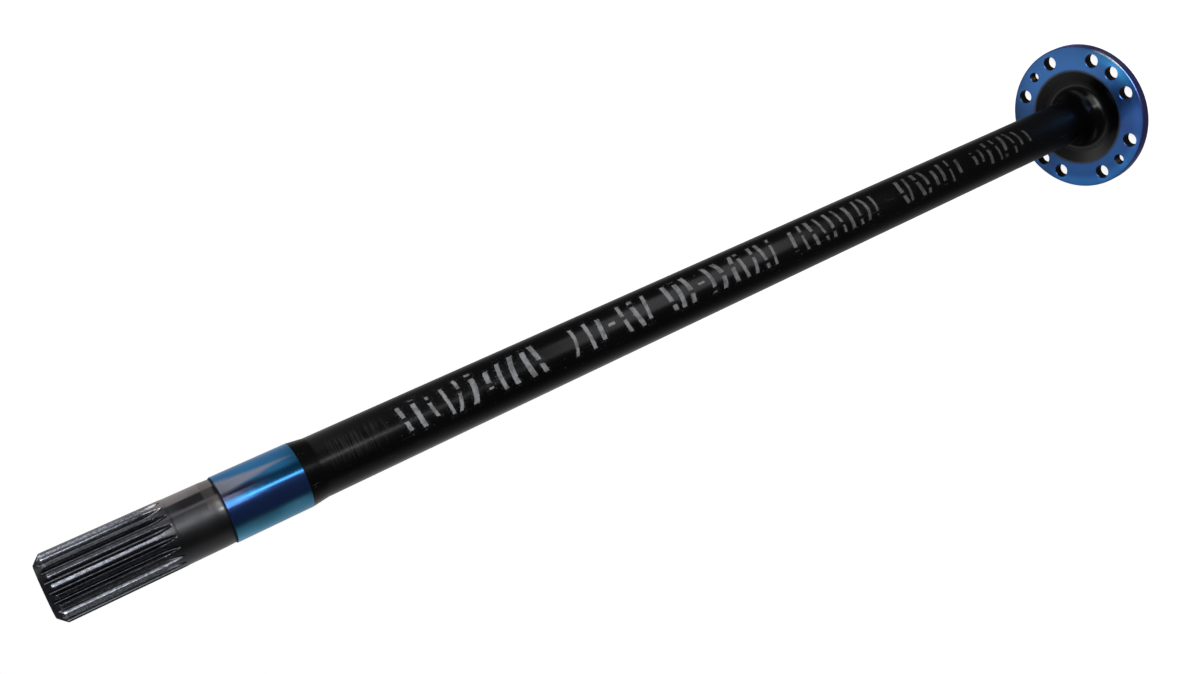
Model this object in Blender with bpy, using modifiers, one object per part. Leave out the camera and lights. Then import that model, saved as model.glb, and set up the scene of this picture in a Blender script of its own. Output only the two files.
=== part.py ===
"""Full-floating rear axle shaft of a light truck, forged and turned from one piece of alloy steel.

The shaft stands on its wheel flange: the origin is the centre of the flange's outer face, +Z runs
along the shaft to the splined end, and +X passes through one of the two jacking holes.
"""

import math

import bmesh
import bpy
from mathutils import Matrix, Vector

MM = 0.001

# Splined end, from the end face towards the flange
OVERALL_LENGTH = 815 * MM
SPLINE_TEETH = 20
SPLINE_MODULE = 1.725 * MM
SPLINE_PRESSURE_ANGLE = math.radians(30)
SPLINE_ROOT_TEETH = 1.8
SPLINE_FORM_TEETH = 1.1
SPLINE_FULL_DEPTH_LENGTH = 51 * MM
SPLINE_CLOCKING = math.radians(15.3)
GROOVE_FILLET_RISE = 0.33
GROOVE_FILLET_WIDTH = 0.62
HOB_RADIUS = 26 * MM
END_CHAMFER = 4.2 * MM

# Bare length, gear-side shoulder, seat and shaft, each radius stepped from the one before it
SHOULDER_FROM_END = 88 * MM
BARE_DROP = 0.13 * MM
BARE_STEP_LENGTH = 1 * MM
RELIEF_LENGTH = 5.6 * MM
RELIEF_DROP = 0.22 * MM
SHOULDER_STEP = 0.5 * MM
SHOULDER_CHAMFER = 0.35 * MM
SEAT_LENGTH = 42 * MM
SEAT_TAPER_LENGTH = 9.5 * MM
SHAFT_DROP = 1.25 * MM

# Root of the shaft and the dish turned into the flange round it
ROOT_RADIUS = 20 * MM
ROOT_END_SLOPE = math.radians(45)
CORNER_RADIUS = 4 * MM
DISH_SLOPE = math.radians(14)

# Wheel flange
FLANGE_THICKNESS = 7.3 * MM
BOLT_CIRCLE_RADIUS = 48.75 * MM
BOLT_HOLE_RADIUS = 5.25 * MM
JACK_HOLE_RADIUS = 3.4 * MM
LAND_INSIDE_HOLES = 6 * MM
LAND_OUTSIDE_HOLES = 4 * MM
RIM_CHAMFER = 0.6 * MM
HOLE_PITCHES = 16
BOLT_PITCHES = (1, 3, 4, 5, 7, 9, 11, 12, 13, 15)
JACK_PITCHES = (0, 8)

# Lathe centres left in both ends
CENTRE_MOUTH_RADIUS = 4 * MM
CENTRE_HALF_ANGLE = math.radians(30)
CENTRE_PILOT_RADIUS = 1.5 * MM
CENTRE_PILOT_DEPTH = 9 * MM

# Facets of the solid
FACETS_PER_TOOTH = 4
HOLE_FACETS = 24
CENTRE_FACETS = 16
ROOT_STEPS = 6
CORNER_STEPS = 4
RUN_OUT_STEPS = 5
MERGE = 0.005 * MM
OVERCUT = 1 * MM

# Spline radii, by the usual rules for a 30 degree fillet-root spline: at its root and at the
# inner end of its flanks it measures its module times some teeth fewer than it has
PITCH_RADIUS = SPLINE_MODULE * SPLINE_TEETH / 2
BASE_RADIUS = PITCH_RADIUS * math.cos(SPLINE_PRESSURE_ANGLE)
SPLINE_RADIUS = SPLINE_MODULE * (SPLINE_TEETH + 1) / 2
SPLINE_ROOT_RADIUS = SPLINE_MODULE * (SPLINE_TEETH - SPLINE_ROOT_TEETH) / 2
SPLINE_FORM_RADIUS = SPLINE_MODULE * (SPLINE_TEETH - SPLINE_FORM_TEETH) / 2

# Radii along the shaft
BARE_RADIUS = SPLINE_RADIUS - BARE_DROP
SEAT_RADIUS = BARE_RADIUS + SHOULDER_STEP
SHAFT_RADIUS = SEAT_RADIUS - SHAFT_DROP
DISH_RADIUS = BOLT_CIRCLE_RADIUS - BOLT_HOLE_RADIUS - LAND_INSIDE_HOLES
FLANGE_RADIUS = BOLT_CIRCLE_RADIUS + BOLT_HOLE_RADIUS + LAND_OUTSIDE_HOLES

# Heights above the flange's outer face
FULL_DEPTH_Z = OVERALL_LENGTH - SPLINE_FULL_DEPTH_LENGTH
SHOULDER_Z = OVERALL_LENGTH - SHOULDER_FROM_END
SEAT_END_Z = SHOULDER_Z - SEAT_LENGTH
SHAFT_TOP_Z = SEAT_END_Z - SEAT_TAPER_LENGTH


def empty_the_scene():
    """Remove every object, and the collections that held them."""
    for item in list(bpy.data.objects):
        bpy.data.objects.remove(item, do_unlink=True)
    for group in list(bpy.data.collections):
        bpy.data.collections.remove(group)


def new_collection(name):
    group = bpy.data.collections.new(name)
    bpy.context.scene.collection.children.link(group)
    return group


def new_object(name, bm, group):
    """Write a bmesh into a new object of the given collection."""
    mesh = bpy.data.meshes.new(name)
    bm.to_mesh(mesh)
    bm.free()
    item = bpy.data.objects.new(name, mesh)
    group.objects.link(item)
    return item


def make_cutter(item):
    item.hide_render = True
    item.display_type = "WIRE"
    return item


def cut(item, cutter):
    """Take a cutter's volume out of an object."""
    boolean = item.modifiers.new(cutter.name, "BOOLEAN")
    boolean.operation = "DIFFERENCE"
    boolean.solver = "EXACT"
    boolean.object = cutter


def black_enamel():
    """The finish of most of the shaft: satin-gloss black."""
    material = bpy.data.materials.new("black_enamel")
    material.use_nodes = True
    shader = material.node_tree.nodes["Principled BSDF"]
    shader.inputs["Base Color"].default_value = (0.012, 0.012, 0.013, 1)
    shader.inputs["Roughness"].default_value = 0.3
    shader.inputs["Metallic"].default_value = 0.0
    return material


def arc(centre, radius, first, last, steps):
    """Points of an arc in the profile's (radius, height) plane, angles from the outward axis."""
    points = []
    for step in range(steps + 1):
        angle = first + (last - first) * step / steps
        points.append((centre[0] + radius * math.cos(angle), centre[1] + radius * math.sin(angle)))
    return points


def root_profile():
    """Root of the shaft, top to bottom: a wide fillet, a tight corner, then the dish's cone.

    The fillet leaves the shaft upright and turns until it slopes by ROOT_END_SLOPE. The corner
    carries on in the same sense to the dish's slope, and the cone climbs to the flange's face.
    """
    corner_start_radius = SHAFT_RADIUS + ROOT_RADIUS * (1 - math.sin(ROOT_END_SLOPE))
    corner_x = corner_start_radius + CORNER_RADIUS * math.sin(ROOT_END_SLOPE)
    cone_start_radius = corner_x + CORNER_RADIUS * math.sin(DISH_SLOPE)
    cone_rise = (DISH_RADIUS - cone_start_radius) * math.tan(DISH_SLOPE)
    cone_start_z = FLANGE_THICKNESS - cone_rise
    corner_z = cone_start_z + CORNER_RADIUS * math.cos(DISH_SLOPE)
    corner_start_z = corner_z - CORNER_RADIUS * math.cos(ROOT_END_SLOPE)
    fillet_z = corner_start_z + ROOT_RADIUS * math.cos(ROOT_END_SLOPE)
    fillet = arc(
        (SHAFT_RADIUS + ROOT_RADIUS, fillet_z),
        ROOT_RADIUS,
        math.pi,
        math.pi * 3 / 2 - ROOT_END_SLOPE,
        ROOT_STEPS,
    )
    corner = arc(
        (corner_x, corner_z),
        CORNER_RADIUS,
        math.pi * 3 / 2 - ROOT_END_SLOPE,
        math.pi * 3 / 2 + DISH_SLOPE,
        CORNER_STEPS,
    )
    return fillet + corner[1:]


def shaft_profile():
    """The turned outline, from the axis at the splined end down to the axis at the flange."""
    end = [
        (0, OVERALL_LENGTH),
        (SPLINE_RADIUS - END_CHAMFER, OVERALL_LENGTH),
        (SPLINE_RADIUS, OVERALL_LENGTH - END_CHAMFER),
    ]
    bare = [
        (SPLINE_RADIUS, FULL_DEPTH_Z - run_out_length()),
        (BARE_RADIUS, FULL_DEPTH_Z - run_out_length() - BARE_STEP_LENGTH),
        (BARE_RADIUS, SHOULDER_Z + RELIEF_LENGTH),
        (BARE_RADIUS - RELIEF_DROP, SHOULDER_Z),
    ]
    seat = [
        (SEAT_RADIUS - SHOULDER_CHAMFER, SHOULDER_Z),
        (SEAT_RADIUS, SHOULDER_Z - SHOULDER_CHAMFER),
        (SEAT_RADIUS, SEAT_END_Z),
        (SHAFT_RADIUS, SHAFT_TOP_Z),
    ]
    flange = [
        (DISH_RADIUS, FLANGE_THICKNESS),
        (FLANGE_RADIUS - RIM_CHAMFER, FLANGE_THICKNESS),
        (FLANGE_RADIUS, FLANGE_THICKNESS - RIM_CHAMFER),
        (FLANGE_RADIUS, RIM_CHAMFER),
        (FLANGE_RADIUS - RIM_CHAMFER, 0),
        (0, 0),
    ]
    return end + bare + seat + root_profile() + flange


def turn(name, profile, facets, group):
    """A turned solid: the profile with a Screw modifier about Z."""
    bm = bmesh.new()
    corners = [bm.verts.new((radius, 0, height)) for radius, height in profile]
    for first, second in zip(corners, corners[1:]):
        bm.edges.new((first, second))
    item = new_object(name, bm, group)
    screw = item.modifiers.new("turning", "SCREW")
    screw.axis = "Z"
    screw.angle = math.tau
    screw.steps = facets
    screw.render_steps = facets
    screw.use_merge_vertices = True
    screw.merge_threshold = MERGE
    screw.use_smooth_shade = True
    weld = item.modifiers.new("poles", "WELD")
    weld.merge_threshold = MERGE
    return item


def involute(angle):
    return math.tan(angle) - angle


def space_half_angle(radius):
    """Half the angle of the gap between two teeth at a radius, from the involute flanks."""
    flank_angle = math.acos(BASE_RADIUS / radius)
    at_pitch = math.pi / 2 / SPLINE_TEETH
    return at_pitch + involute(flank_angle) - involute(SPLINE_PRESSURE_ANGLE)


def groove_section():
    """Outline of one groove in plan, centred on +X, from its outer left to its outer right."""
    fillet_rise = (SPLINE_FORM_RADIUS - SPLINE_ROOT_RADIUS) * GROOVE_FILLET_RISE
    outer_radius = SPLINE_RADIUS * 2 - PITCH_RADIUS
    flank_radii = (outer_radius, SPLINE_RADIUS, PITCH_RADIUS, SPLINE_FORM_RADIUS)
    left = []
    for radius in flank_radii:
        half = space_half_angle(radius)
        left.append((radius * math.cos(half), radius * math.sin(half)))
    left.append((SPLINE_ROOT_RADIUS + fillet_rise, left[-1][1] * GROOVE_FILLET_WIDTH))
    right = [(x, -y) for x, y in reversed(left)]
    return left + [(SPLINE_ROOT_RADIUS, 0)] + right


def run_out_lift(distance):
    """How far the hob has left the shaft at a distance past the full-depth grooves."""
    return HOB_RADIUS - math.sqrt(HOB_RADIUS**2 - distance**2)


def run_out_length():
    depth = SPLINE_RADIUS - SPLINE_ROOT_RADIUS
    return math.sqrt(HOB_RADIUS**2 - (HOB_RADIUS - depth) ** 2)


def spline_cutter(group):
    """All grooves as one cutter: each section is drawn down the shaft, then lifted out of it."""
    bm = bmesh.new()
    top = OVERALL_LENGTH + OVERCUT
    outline = [bm.verts.new((x, y, top)) for x, y in groove_section()]
    ring = bm.faces.new(outline).edges[:]
    stations = [(FULL_DEPTH_Z, 0.0)]
    for step in range(1, RUN_OUT_STEPS + 1):
        distance = run_out_length() * step / RUN_OUT_STEPS
        stations.append((FULL_DEPTH_Z - distance, run_out_lift(distance)))
    height, lift = top, 0.0
    for next_height, next_lift in stations:
        drawn = bmesh.ops.extrude_edge_only(bm, edges=ring)["geom"]
        ring = [part for part in drawn if isinstance(part, bmesh.types.BMEdge)]
        corners = [part for part in drawn if isinstance(part, bmesh.types.BMVert)]
        move = Vector((next_lift - lift, 0, next_height - height))
        bmesh.ops.translate(bm, verts=corners, vec=move)
        height, lift = next_height, next_lift
    bmesh.ops.edgeloop_fill(bm, edges=ring)
    bmesh.ops.recalc_face_normals(bm, faces=bm.faces[:])
    to_first_gap = SPLINE_CLOCKING + math.pi / SPLINE_TEETH
    bmesh.ops.rotate(bm, verts=bm.verts[:], matrix=Matrix.Rotation(to_first_gap, 3, "Z"))
    bmesh.ops.spin(
        bm,
        geom=bm.verts[:] + bm.edges[:] + bm.faces[:],
        axis=(0, 0, 1),
        angle=math.tau * (SPLINE_TEETH - 1) / SPLINE_TEETH,
        steps=SPLINE_TEETH - 1,
        use_duplicate=True,
    )
    return make_cutter(new_object("spline_grooves", bm, group))


def add_cone(bm, lower_radius, upper_radius, lower_z, upper_z, facets, x=0.0, y=0.0):
    """A closed cylinder or cone frustum standing at (x, y)."""
    bmesh.ops.create_cone(
        bm,
        cap_ends=True,
        segments=facets,
        radius1=lower_radius,
        radius2=upper_radius,
        depth=upper_z - lower_z,
        matrix=Matrix.Translation((x, y, (lower_z + upper_z) / 2)),
    )


def flange_holes_cutter(group):
    """Ten bolt holes and two jacking holes, on one circle of sixteen pitches."""
    bm = bmesh.new()
    sizes = [(pitch, BOLT_HOLE_RADIUS) for pitch in BOLT_PITCHES]
    sizes += [(pitch, JACK_HOLE_RADIUS) for pitch in JACK_PITCHES]
    for pitch, radius in sizes:
        angle = math.tau * pitch / HOLE_PITCHES
        x = BOLT_CIRCLE_RADIUS * math.cos(angle)
        y = BOLT_CIRCLE_RADIUS * math.sin(angle)
        top = FLANGE_THICKNESS + OVERCUT
        add_cone(bm, radius, radius, -OVERCUT, top, HOLE_FACETS, x, y)
    return make_cutter(new_object("flange_holes", bm, group))


def centre_cutter(name, face_z, inwards, group):
    """A lathe centre: a 60 degree cone that narrows to a pilot bore, made by the Screw tool."""
    cone_depth = (CENTRE_MOUTH_RADIUS - CENTRE_PILOT_RADIUS) / math.tan(CENTRE_HALF_ANGLE)
    mouth_outside = CENTRE_MOUTH_RADIUS + OVERCUT * math.tan(CENTRE_HALF_ANGLE)
    outline = [
        (0, -OVERCUT),
        (mouth_outside, -OVERCUT),
        (CENTRE_PILOT_RADIUS, cone_depth),
        (CENTRE_PILOT_RADIUS, CENTRE_PILOT_DEPTH),
        (0, CENTRE_PILOT_DEPTH),
    ]
    profile = [(radius, face_z + inwards * depth) for radius, depth in outline]
    if inwards > 0:
        profile.reverse()
    return make_cutter(turn(name, profile, CENTRE_FACETS, group))


def build_axle_shaft():
    empty_the_scene()
    parts = new_collection("axle_shaft_assembly")
    cutters = new_collection("cutters")
    shaft = turn("axle_shaft", shaft_profile(), FACETS_PER_TOOTH * SPLINE_TEETH, parts)
    shaft.rotation_euler.z = SPLINE_CLOCKING
    shaft.data.materials.append(black_enamel())
    cut(shaft, spline_cutter(cutters))
    cut(shaft, flange_holes_cutter(cutters))
    cut(shaft, centre_cutter("spline_end_centre", OVERALL_LENGTH, -1, cutters))
    cut(shaft, centre_cutter("flange_centre", 0, 1, cutters))


build_axle_shaft()
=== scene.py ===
import math

import bmesh
import bpy
from mathutils import Matrix, Vector


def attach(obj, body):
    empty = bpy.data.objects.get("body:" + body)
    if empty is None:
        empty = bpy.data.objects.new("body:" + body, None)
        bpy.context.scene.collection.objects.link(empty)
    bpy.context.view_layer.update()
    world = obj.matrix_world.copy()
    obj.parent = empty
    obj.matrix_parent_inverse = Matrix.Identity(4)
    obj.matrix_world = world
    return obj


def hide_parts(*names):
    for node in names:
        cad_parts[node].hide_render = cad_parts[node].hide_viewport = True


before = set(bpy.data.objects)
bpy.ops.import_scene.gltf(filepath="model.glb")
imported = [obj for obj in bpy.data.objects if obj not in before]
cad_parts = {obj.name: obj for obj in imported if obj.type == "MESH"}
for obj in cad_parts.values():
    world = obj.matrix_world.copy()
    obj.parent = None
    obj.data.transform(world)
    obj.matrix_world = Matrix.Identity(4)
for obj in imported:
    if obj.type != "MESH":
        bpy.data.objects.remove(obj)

bpy.ops.object.select_all(action="DESELECT")
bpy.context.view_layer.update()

MM = 0.001

# Heights above the flange's outer face, and radii, as in the solid
LENGTH = 815 * MM
FULL_DEPTH_Z = 764 * MM
HOB_RADIUS = 26 * MM
END_CHAMFER = 4.2 * MM
BARE_RADIUS = 17.9825 * MM
RELIEF_Z = 732.6 * MM
RELIEF_RADIUS = 17.7625 * MM
SHOULDER_Z = 727 * MM
SHOULDER_CHAMFER = 0.35 * MM
SEAT_RADIUS = 18.4825 * MM
SEAT_END_Z = 685 * MM
SHAFT_TOP_Z = 675.5 * MM
SHAFT_RADIUS = 17.2325 * MM
ROOT_RADIUS = 20 * MM
ROOT_END_SLOPE = math.radians(45)
CORNER_RADIUS = 4 * MM
DISH_RADIUS = 37.5 * MM
DISH_SLOPE = math.radians(14)
FLANGE_RADIUS = 58 * MM
FLANGE_THICKNESS = 7.3 * MM
RIM_CHAMFER = 0.6 * MM
BOLT_CIRCLE = 48.75 * MM
BOLT_HOLE = 5.25 * MM
JACK_HOLE = 3.4 * MM
THREAD_DEPTH = 0.6 * MM
THREAD_PITCH = 1.25 * MM
THREAD_CREST_START = 0.1
THREAD_CREST_END = 0.3
THREAD_VALLEY = 0.75
HOLE_EDGE = 0.35 * MM
HOLE_PITCHES = 16
BOLT_PITCHES = (1, 3, 4, 5, 7, 9, 11, 12, 13, 15)
JACK_PITCHES = (0, 8)
CENTRE_MOUTH = 4 * MM
CENTRE_PILOT = 1.5 * MM
CENTRE_PILOT_DEPTH = 9 * MM
CENTRE_HALF_ANGLE = math.radians(30)
CENTRE_CONE_DEPTH = (CENTRE_MOUTH - CENTRE_PILOT) / math.tan(CENTRE_HALF_ANGLE)
CENTRE_TIP = CENTRE_PILOT * math.tan(CENTRE_HALF_ANGLE)

# The spline: its teeth, module and 30 degree flanks, and how deep its grooves go, in half modules
TEETH = 20
MODULE = 1.725 * MM
ROOT_DEPTH = 1.8
FORM_DEPTH = 1.1
PRESSURE_ANGLE = math.radians(30)
PITCH_RADIUS = MODULE * TEETH / 2
BASE_RADIUS = PITCH_RADIUS * math.cos(PRESSURE_ANGLE)
SPLINE_RADIUS = MODULE * (TEETH + 1) / 2
GROOVE_ROOT = MODULE * (TEETH - ROOT_DEPTH) / 2
GROOVE_FORM = MODULE * (TEETH - FORM_DEPTH) / 2
RUN_OUT_LENGTH = math.sqrt(HOB_RADIUS**2 - (HOB_RADIUS - SPLINE_RADIUS + GROOVE_ROOT) ** 2)
STEPS_PER_TOOTH = 32
AROUND = STEPS_PER_TOOTH * TEETH
TOOTH_CLOCKING = math.radians(15.3)
FIRST_GAP = TOOTH_CLOCKING + math.pi / TEETH

# Where the bare length steps down below the run-outs, and where the plain shaft's long rings start
BARE_STEP_START = 0.5 * MM
BARE_STEP_END = 1.5 * MM
TAPER_RUN = 4 * MM

# The end face's middle ring, as a share of its radius, and the bands of its eased edge
END_FACE_RING = 0.7
EDGE_BANDS = (0.3, 0.7)
MOUTH_BAND = 1.6

# How far sharp edges are eased, and how far a drill reaches past the face that it cuts
EDGE_EASE = 0.3 * MM
TURNED_EASE = 0.12 * MM
RIM_EASE = 0.2 * MM
EASE_DEPTH = 0.3
GROOVE_CLEARANCE = 0.05 * MM
DRILL_OVERRUN = 1 * MM

# Steps that the curved forms are drawn in
CHAMFER_STEPS = 8
RUN_OUT_STEPS = 16
SHAFT_STEPS = 24
ROOT_STEPS = 20
CORNER_STEPS = 10
HOLE_STEPS = 48
SEARCH_STEPS = 40
RATIO_DIGITS = 7
SMOOTH_ANGLE = math.radians(28)

# The outer ends of the teeth, just under the end chamfer
CREST_END_Z = LENGTH - END_CHAMFER - 0.2 * MM

# The photograph's camera, in the part's frame
PHOTO_WIDTH = 1200
FOCAL_PIXELS = 1100
SENSOR = 36
CLIP_START = 10 * MM
CAMERA_PLACE = Vector((0.24291, 0.54909, 0.79598))
CAMERA_RIGHT = Vector((0.55068, 0.21135, -0.80752))
CAMERA_UP = Vector((-0.75339, 0.54237, -0.37181))
CAMERA_BACK = Vector((0.35939, 0.81312, 0.45790))
CAMERA_AZIMUTH = math.atan2(CAMERA_PLACE.y, CAMERA_PLACE.x)


def involute(angle):
    return math.tan(angle) - angle


def gap_half_angle(radius):
    """Half the angle of the gap between two teeth at a radius."""
    at_pitch = math.pi / 2 / TEETH
    return at_pitch + involute(math.acos(BASE_RADIUS / radius)) - involute(PRESSURE_ANGLE)


def groove_radius(angle):
    """Distance from the axis to the bottom of a full-depth groove, at an angle from its middle."""
    form_angle = gap_half_angle(GROOVE_FORM)
    if angle < form_angle:
        return GROOVE_ROOT + (GROOVE_FORM - GROOVE_ROOT) * (angle / form_angle) ** 3
    low, high = GROOVE_FORM, SPLINE_RADIUS * 1.1
    for _ in range(SEARCH_STEPS):
        middle = (low + high) / 2
        if gap_half_angle(middle) < angle:
            low = middle
        else:
            high = middle
    return low


def spline_ring(blank_radius, lift):
    """Radii of the half tooth's steps where the hob has been lifted by a distance."""
    steps = range(STEPS_PER_TOOTH // 2 + 1)
    grooves = [groove_radius(math.tau * step / AROUND) for step in steps]
    return [min(blank_radius, groove + lift) for groove in grooves]


def edit_bmesh():
    return bmesh.from_edit_mesh(bpy.context.edit_object.data)


def start_ring(name, vertices, radius, height, turn=0.0):
    """A circle primitive, left open for extruding in edit mode."""
    bpy.ops.object.select_all(action="DESELECT")
    bpy.ops.mesh.primitive_circle_add(
        vertices=vertices,
        radius=radius,
        fill_type="NOTHING",
        location=(0, 0, height),
        rotation=(0, 0, turn),
    )
    item = bpy.context.object
    item.name = item.data.name = name
    bpy.ops.object.transform_apply(location=True, rotation=True, scale=True)
    bpy.ops.object.mode_set(mode="EDIT")
    bpy.ops.mesh.select_mode(type="VERT")
    bpy.ops.mesh.select_all(action="SELECT")
    return item


def resize_selection(ratio):
    bpy.ops.transform.resize(value=(ratio, ratio, 1), center_override=(0, 0, 0))


def extrude_ring(rise):
    bpy.ops.mesh.extrude_region_move(TRANSFORM_OT_translate={"value": (0, 0, rise)})


def turn_down(profile, radius, height):
    """Carry the open ring through a turned profile of (radius, height) corners."""
    for next_radius, next_height in profile:
        extrude_ring(next_height - height)
        if next_radius != radius:
            resize_selection(next_radius / radius)
        radius, height = next_radius, next_height
    return radius, height


def hob_down(stations, radius, height):
    """Carry the ring through the spline: each station is (height, radii of the half tooth)."""
    radii = [radius] * (STEPS_PER_TOOTH // 2 + 1)
    for next_height, targets in stations:
        extrude_ring(next_height - height)
        height = next_height
        bm = edit_bmesh()
        ring = [vert for vert in bm.verts if vert.select]
        steps = {}
        for vert in ring:
            angle = math.atan2(vert.co.y, vert.co.x) - FIRST_GAP
            step = round(angle * AROUND / math.tau) % STEPS_PER_TOOTH
            steps.setdefault(min(step, STEPS_PER_TOOTH - step), []).append(vert)
        moves = {}
        for step, target in enumerate(targets):
            ratio = round(target / radii[step], RATIO_DIGITS)
            if ratio != 1:
                moves.setdefault(ratio, []).extend(steps[step])
        for ratio, verts in moves.items():
            bpy.ops.mesh.select_all(action="DESELECT")
            for vert in verts:
                vert.select = True
            bmesh.update_edit_mesh(bpy.context.edit_object.data)
            resize_selection(ratio)
        for vert in ring:
            vert.select = True
        bm.select_flush(True)
        bmesh.update_edit_mesh(bpy.context.edit_object.data)
        radii = targets
    return radii[0], height


def close_bore(depth):
    """Close the ring at the end of a pilot bore with the drill's point."""
    extrude_ring(depth)
    bpy.ops.mesh.merge(type="CENTER")


def arc(centre, radius, first, last, steps):
    """Corners of an arc in the (radius, height) plane, without its first."""
    angles = [first + (last - first) * step / steps for step in range(1, steps + 1)]
    return [
        (centre[0] + radius * math.cos(angle), centre[1] + radius * math.sin(angle))
        for angle in angles
    ]


def root_profile():
    """Root fillet, tight corner and dish, from the shaft down and out to the flange's face."""
    corner_start = SHAFT_RADIUS + ROOT_RADIUS * (1 - math.sin(ROOT_END_SLOPE))
    corner_x = corner_start + CORNER_RADIUS * math.sin(ROOT_END_SLOPE)
    cone_start = corner_x + CORNER_RADIUS * math.sin(DISH_SLOPE)
    cone_start_z = FLANGE_THICKNESS - (DISH_RADIUS - cone_start) * math.tan(DISH_SLOPE)
    corner_z = cone_start_z + CORNER_RADIUS * math.cos(DISH_SLOPE)
    corner_start_z = corner_z - CORNER_RADIUS * math.cos(ROOT_END_SLOPE)
    fillet_z = corner_start_z + ROOT_RADIUS * math.cos(ROOT_END_SLOPE)
    slope_end = math.pi * 3 / 2 - ROOT_END_SLOPE
    fillet_centre = (SHAFT_RADIUS + ROOT_RADIUS, fillet_z)
    fillet = arc(fillet_centre, ROOT_RADIUS, math.pi, slope_end, ROOT_STEPS)
    cone_angle = math.pi * 3 / 2 + DISH_SLOPE
    corner = arc((corner_x, corner_z), CORNER_RADIUS, slope_end, cone_angle, CORNER_STEPS)
    return [(SHAFT_RADIUS, fillet_z)] + fillet + corner


def eased(before, corner, after, size):
    """Three corners that round one corner of a turned profile off."""
    to_before = (Vector(before) - Vector(corner)).normalized() * size
    to_after = (Vector(after) - Vector(corner)).normalized() * size
    middle = Vector(corner) + (to_before + to_after) * EASE_DEPTH
    return [
        tuple(Vector(corner) + to_before),
        tuple(middle),
        tuple(Vector(corner) + to_after),
    ]


def eased_profile(corners, size):
    """A turned profile with each of its inner corners rounded off."""
    profile = [corners[0]]
    for before, corner, after in zip(corners, corners[1:], corners[2:]):
        profile += eased(before, corner, after, size)
    return profile + [corners[-1]]


def end_profile():
    """Lathe centre, end face and the chamfer down to the grooves, from the pilot bore outwards."""
    end_radius = SPLINE_RADIUS - END_CHAMFER
    groove_edge = GROOVE_ROOT - GROOVE_CLEARANCE
    return [
        (CENTRE_PILOT, LENGTH - CENTRE_CONE_DEPTH),
        (CENTRE_MOUTH - EDGE_EASE, LENGTH - EDGE_EASE * MOUTH_BAND),
        (CENTRE_MOUTH + EDGE_EASE, LENGTH),
        (end_radius * END_FACE_RING, LENGTH),
        (end_radius - EDGE_EASE, LENGTH),
        (end_radius, LENGTH - EDGE_EASE * EDGE_BANDS[0]),
        (end_radius + EDGE_EASE * EDGE_BANDS[1], LENGTH - EDGE_EASE),
        (groove_edge, LENGTH - END_CHAMFER + SPLINE_RADIUS - groove_edge),
    ]


def spline_stations():
    """Heights and half-tooth radii down the end chamfer, the full-depth teeth and the run-outs."""
    stations = []
    for step in range(1, CHAMFER_STEPS + 1):
        blank = GROOVE_ROOT + (SPLINE_RADIUS - GROOVE_ROOT) * step / CHAMFER_STEPS
        stations.append((LENGTH - END_CHAMFER + SPLINE_RADIUS - blank, spline_ring(blank, 0)))
    stations.append((FULL_DEPTH_Z, spline_ring(SPLINE_RADIUS, 0)))
    for step in range(1, RUN_OUT_STEPS + 1):
        distance = RUN_OUT_LENGTH * step / RUN_OUT_STEPS
        lift = HOB_RADIUS - math.sqrt(HOB_RADIUS**2 - distance**2)
        if step == RUN_OUT_STEPS:
            lift = SPLINE_RADIUS - GROOVE_ROOT
        stations.append((FULL_DEPTH_Z - distance, spline_ring(SPLINE_RADIUS, lift)))
    return stations


def turned_profile():
    """Bare length, relief, shoulder, seat and taper, down to the plain shaft."""
    run_out_end = FULL_DEPTH_Z - RUN_OUT_LENGTH
    corners = [
        (SPLINE_RADIUS, run_out_end - BARE_STEP_START),
        (BARE_RADIUS, run_out_end - BARE_STEP_END),
        (BARE_RADIUS, RELIEF_Z),
        (RELIEF_RADIUS, SHOULDER_Z),
        (SEAT_RADIUS - SHOULDER_CHAMFER, SHOULDER_Z),
        (SEAT_RADIUS, SHOULDER_Z - SHOULDER_CHAMFER),
        (SEAT_RADIUS, SEAT_END_Z),
        (SHAFT_RADIUS, SHAFT_TOP_Z),
        (SHAFT_RADIUS, SHAFT_TOP_Z - TAPER_RUN),
    ]
    return eased_profile(corners, TURNED_EASE)


def flange_profile(dish_start):
    """The dish's cone from its inner end, the flat ring, the rim, the outer face and its centre."""
    corners = [
        dish_start,
        (DISH_RADIUS, FLANGE_THICKNESS),
        (FLANGE_RADIUS - RIM_CHAMFER, FLANGE_THICKNESS),
        (FLANGE_RADIUS, FLANGE_THICKNESS - RIM_CHAMFER),
        (FLANGE_RADIUS, RIM_CHAMFER),
        (FLANGE_RADIUS - RIM_CHAMFER, 0),
        (CENTRE_MOUTH, 0),
        (CENTRE_PILOT, CENTRE_CONE_DEPTH),
        (CENTRE_PILOT, CENTRE_PILOT_DEPTH),
    ]
    return eased_profile(corners, RIM_EASE)


def model_shaft():
    """The whole forging in one skin, drawn from the splined end's centre down to the flange's."""
    pilot_z = LENGTH - CENTRE_PILOT_DEPTH
    item = start_ring("axle_shaft_finished", AROUND, CENTRE_PILOT, pilot_z, FIRST_GAP)
    radius, height = turn_down(end_profile(), CENTRE_PILOT, pilot_z)
    radius, height = hob_down(spline_stations(), radius, height)
    radius, height = turn_down(turned_profile(), radius, height)
    root = root_profile()
    run = root[0][1] - height
    along = [(SHAFT_RADIUS, height + run * step / SHAFT_STEPS) for step in range(1, SHAFT_STEPS)]
    turn_down(along + root[:-1] + flange_profile(root[-1]), radius, height)
    close_bore(CENTRE_TIP)
    bpy.ops.mesh.select_all(action="DESELECT")
    bpy.ops.mesh.select_non_manifold()
    close_bore(-CENTRE_TIP)
    bpy.ops.mesh.select_all(action="SELECT")
    bpy.ops.mesh.normals_make_consistent(inside=False)
    bpy.ops.object.mode_set(mode="OBJECT")
    return item


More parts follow.
